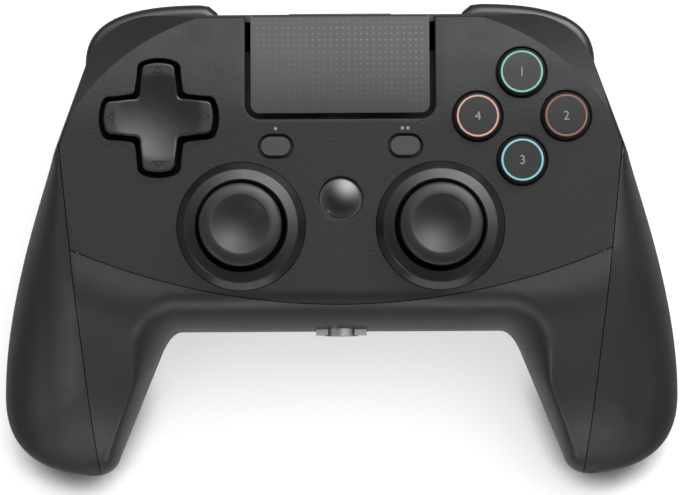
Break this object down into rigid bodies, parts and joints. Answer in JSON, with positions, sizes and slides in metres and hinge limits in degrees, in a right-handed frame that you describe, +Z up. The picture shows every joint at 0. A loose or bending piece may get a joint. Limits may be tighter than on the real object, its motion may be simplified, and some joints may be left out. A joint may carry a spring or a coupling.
{
  "type": "gamepad controller",
  "caption": "Black wireless gamepad with two thumb sticks, touchpad, cross pad, ringed face buttons, bumpers, triggers and drooping rubber grips.",
  "frame": {"origin": "on the table under the middle of the bounding box, with the pad lying face up on its grips and on two humps under the case", "axes": "+X to the player's right, +Y away from the player, +Z up, out of the face"},
  "size_m": [0.1612, 0.111, 0.0495],
  "materials": {
    "grained_plastic": "fine grain, satin",
    "satin_plastic": "smooth satin",
    "grip_rubber": "soft touch",
    "key_plastic": "satin",
    "gloss_black": "polished",
    "cap_rubber": "matt",
    "pad_plastic": "satin with printed dots",
    "ring_green": "printed ring",
    "ring_red": "printed ring",
    "ring_cyan": "printed ring",
    "ring_salmon": "printed ring",
    "steel": "bright",
    "zinc": "zinc plated",
    "silicone": "matt",
    "inner_plastic": "as moulded",
    "white_plastic": "as moulded",
    "circuit_board": "solder mask",
    "cell_wrap": "film",
    "smoked_lens": "polished"
  },
  "bodies": {
    "case": {"face_plate": "grained_plastic", "front_shell": "satin_plastic", "rear_shell": "satin_plastic", "left_grip_cover": "grip_rubber", "right_grip_cover": "grip_rubber", "case_screws": "zinc", "touchpad_switch": "steel", "dpad_membrane": "silicone", "face_membrane": "silicone", "menu_switches": "steel", "mid_frame": "inner_plastic", "left_stick_frame": "steel", "left_stick_sensors": "inner_plastic", "left_stick_ring": "gloss_black", "right_stick_frame": "steel", "right_stick_sensors": "inner_plastic", "right_stick_ring": "gloss_black", "bumper_switches": "steel", "left_trigger_bracket": "zinc", "right_trigger_bracket": "zinc", "trigger_pins": "steel", "left_trigger_spring": "steel", "right_trigger_spring": "steel", "left_motor": "steel", "right_motor": "steel", "main_board": "circuit_board", "battery": "cell_wrap", "headset_socket": "zinc", "usb_socket": "steel", "status_lens": "smoked_lens"},
    "touchpad": {"touchpad": "pad_plastic", "touchpad_board": "circuit_board"},
    "dpad_rocker": {"dpad_rocker": "white_plastic"},
    "dpad": {"dpad": "key_plastic"},
    "home_key": {"home_button": "gloss_black"},
    "left_menu_key": {"left_menu_button": "key_plastic"},
    "right_menu_key": {"right_menu_button": "key_plastic"},
    "north_key": {"north_button": "key_plastic", "north_ring": "ring_green"},
    "east_key": {"east_button": "key_plastic", "east_ring": "ring_red"},
    "south_key": {"south_button": "key_plastic", "south_ring": "ring_cyan"},
    "west_key": {"west_button": "key_plastic", "west_ring": "ring_salmon"},
    "left_stick_cradle": {"left_stick_cradle": "white_plastic"},
    "left_stick_lever": {"left_stick_lever": "steel"},
    "left_stick_cap": {"left_stick_cap": "cap_rubber"},
    "left_stick_arch": {"left_stick_arch": "white_plastic"},
    "left_bumper": {"left_bumper": "gloss_black"},
    "left_trigger": {"left_trigger": "key_plastic"},
    "left_motor_weight": {"left_motor_weight": "zinc"},
    "right_stick_cradle": {"right_stick_cradle": "white_plastic"},
    "right_stick_lever": {"right_stick_lever": "steel"},
    "right_stick_cap": {"right_stick_cap": "cap_rubber"},
    "right_stick_arch": {"right_stick_arch": "white_plastic"},
    "right_bumper": {"right_bumper": "gloss_black"},
    "right_trigger": {"right_trigger": "key_plastic"},
    "right_motor_weight": {"right_motor_weight": "zinc"}
  },
  "joints": [
    {"name": "touchpad_click", "type": "hinge", "parent": "case", "child": "touchpad", "pos_m": [0, 0.0465, 0.0364], "axis": [1, 0, 0], "range_deg": [0, 1.3], "stiffness_Nm_per_rad": 0.8, "springref_deg": -0.57},
    {"name": "dpad_up_down", "type": "hinge", "parent": "case", "child": "dpad_rocker", "pos_m": [-0.0423, 0.0281, 0.0318], "axis": [1, 0, 0], "range_deg": [-5, 5], "stiffness_Nm_per_rad": 0.12, "deforming": ["dpad_membrane"]},
    {"name": "dpad_left_right", "type": "hinge", "parent": "dpad_rocker", "child": "dpad", "pos_m": [-0.0423, 0.0281, 0.034], "axis": [0, 1, 0], "range_deg": [-5, 5], "stiffness_Nm_per_rad": 0.12},
    {"name": "north_press", "type": "slide", "parent": "case", "child": "north_key", "axis": [0, 0, -1], "range_m": [0, 0.0014], "stiffness_N_per_m": 400, "springref_m": -0.0005, "deforming": ["face_membrane"]},
    {"name": "east_press", "type": "slide", "parent": "case", "child": "east_key", "axis": [0, 0, -1], "range_m": [0, 0.0014], "stiffness_N_per_m": 400, "springref_m": -0.0005},
    {"name": "south_press", "type": "slide", "parent": "case", "child": "south_key", "axis": [0, 0, -1], "range_m": [0, 0.0014], "stiffness_N_per_m": 400, "springref_m": -0.0005},
    {"name": "west_press", "type": "slide", "parent": "case", "child": "west_key", "axis": [0, 0, -1], "range_m": [0, 0.0014], "stiffness_N_per_m": 400, "springref_m": -0.0005},
    {"name": "home_press", "type": "slide", "parent": "case", "child": "home_key", "axis": [0, 0, -1], "range_m": [0, 0.0008], "stiffness_N_per_m": 1000, "springref_m": -0.0002},
    {"name": "left_menu_press", "type": "slide", "parent": "case", "child": "left_menu_key", "axis": [0, 0, -1], "range_m": [0, 0.0008], "stiffness_N_per_m": 1000, "springref_m": -0.0002},
    {"name": "right_menu_press", "type": "slide", "parent": "case", "child": "right_menu_key", "axis": [0, 0, -1], "range_m": [0, 0.0008], "stiffness_N_per_m": 1000, "springref_m": -0.0002},
    {"name": "left_stick_sideways", "type": "hinge", "parent": "case", "child": "left_stick_cradle", "pos_m": [-0.0232, 0.0027, 0.0275], "axis": [0, 1, 0], "range_deg": [-14, 14], "stiffness_Nm_per_rad": 0.06},
    {"name": "left_stick_forward", "type": "hinge", "parent": "left_stick_cradle", "child": "left_stick_lever", "pos_m": [-0.0232, 0.0027, 0.0275], "axis": [1, 0, 0], "range_deg": [-14, 14], "stiffness_Nm_per_rad": 0.06},
    {"name": "left_stick_press", "type": "slide", "parent": "left_stick_lever", "child": "left_stick_cap", "axis": [0, 0, -1], "range_m": [0, 0.0005], "stiffness_N_per_m": 4000, "springref_m": -0.0002},
    {"name": "left_stick_arch_tilt", "type": "hinge", "parent": "case", "child": "left_stick_arch", "pos_m": [-0.0232, 0.0027, 0.0275], "axis": [1, 0, 0], "range_deg": [-14, 14]},
    {"name": "right_stick_sideways", "type": "hinge", "parent": "case", "child": "right_stick_cradle", "pos_m": [0.0232, 0.0027, 0.0275], "axis": [0, 1, 0], "range_deg": [-14, 14], "stiffness_Nm_per_rad": 0.06},
    {"name": "right_stick_forward", "type": "hinge", "parent": "right_stick_cradle", "child": "right_stick_lever", "pos_m": [0.0232, 0.0027, 0.0275], "axis": [1, 0, 0], "range_deg": [-14, 14], "stiffness_Nm_per_rad": 0.06},
    {"name": "right_stick_press", "type": "slide", "parent": "right_stick_lever", "child": "right_stick_cap", "axis": [0, 0, -1], "range_m": [0, 0.0005], "stiffness_N_per_m": 4000, "springref_m": -0.0002},
    {"name": "right_stick_arch_tilt", "type": "hinge", "parent": "case", "child": "right_stick_arch", "pos_m": [0.0232, 0.0027, 0.0275], "axis": [1, 0, 0], "range_deg": [-14, 14]},
    {"name": "left_bumper_press", "type": "slide", "parent": "case", "child": "left_bumper", "axis": [0, -1, 0], "range_m": [0, 0.0012], "stiffness_N_per_m": 1200, "springref_m": -0.0003},
    {"name": "left_trigger_pull", "type": "hinge", "parent": "case", "child": "left_trigger", "pos_m": [-0.0447, 0.042, 0.0226], "axis": [-1, 0, 0], "range_deg": [0, 16], "stiffness_Nm_per_rad": 0.15, "springref_deg": -5.73, "deforming": ["left_trigger_spring"]},
    {"name": "left_rumble_spin", "type": "hinge", "parent": "case", "child": "left_motor_weight", "pos_m": [-0.0655, -0.033, 0.0145], "axis": [1, 0, 0], "continuous": true},
    {"name": "right_bumper_press", "type": "slide", "parent": "case", "child": "right_bumper", "axis": [0, -1, 0], "range_m": [0, 0.0012], "stiffness_N_per_m": 1200, "springref_m": -0.0003},
    {"name": "right_trigger_pull", "type": "hinge", "parent": "case", "child": "right_trigger", "pos_m": [0.0447, 0.042, 0.0226], "axis": [-1, 0, 0], "range_deg": [0, 16], "stiffness_Nm_per_rad": 0.15, "springref_deg": -5.73, "deforming": ["right_trigger_spring"]},
    {"name": "right_rumble_spin", "type": "hinge", "parent": "case", "child": "right_motor_weight", "pos_m": [0.0655, -0.033, 0.0145], "axis": [1, 0, 0], "continuous": true}
  ],
  "couplings": [
    {"joint": "left_stick_arch_tilt", "follows": "left_stick_forward", "ratio": 1},
    {"joint": "right_stick_arch_tilt", "follows": "right_stick_forward", "ratio": 1}
  ]
}
